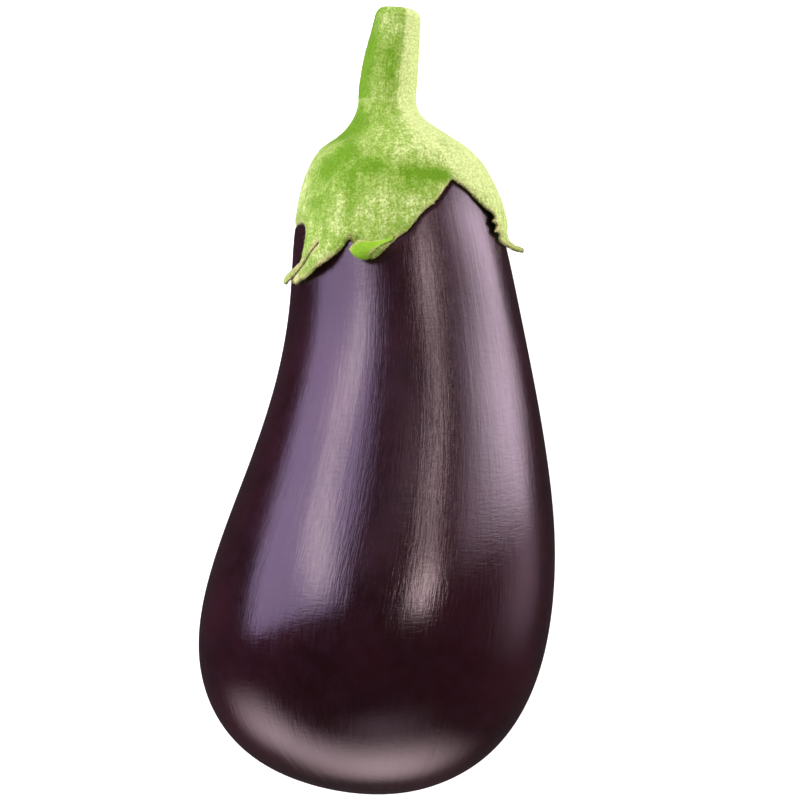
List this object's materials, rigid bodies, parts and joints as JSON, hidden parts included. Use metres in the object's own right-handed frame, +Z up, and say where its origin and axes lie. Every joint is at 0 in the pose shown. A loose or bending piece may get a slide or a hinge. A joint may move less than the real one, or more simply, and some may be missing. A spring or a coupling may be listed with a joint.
{
  "type": "eggplant",
  "caption": "Whole globe eggplant lying on its side: glossy dark purple pear-shaped fruit with a green lobed calyx and a short cut stem; rests on a small flat spot.",
  "frame": {"origin": "middle of the small flat spot on the underside that the fruit rests on", "axes": "+Z up from the resting surface; +Y along the fruit's length towards the cut end of the stem; +X to the right when seen from above with the stem pointing away"},
  "size_m": [0.0906, 0.2026, 0.0866],
  "materials": {
    "skin": "smooth waxy near-black purple skin with soft broad highlights",
    "calyx_green": "matt downy leaf green, mottled with pale lime, with thin cream margins",
    "stem_green": "matt green, streaked lengthwise, with a pale cut end"
  },
  "bodies": {
    "root": {"fruit": "skin", "calyx": "calyx_green", "stem": "stem_green"}
  },
  "joints": []
}
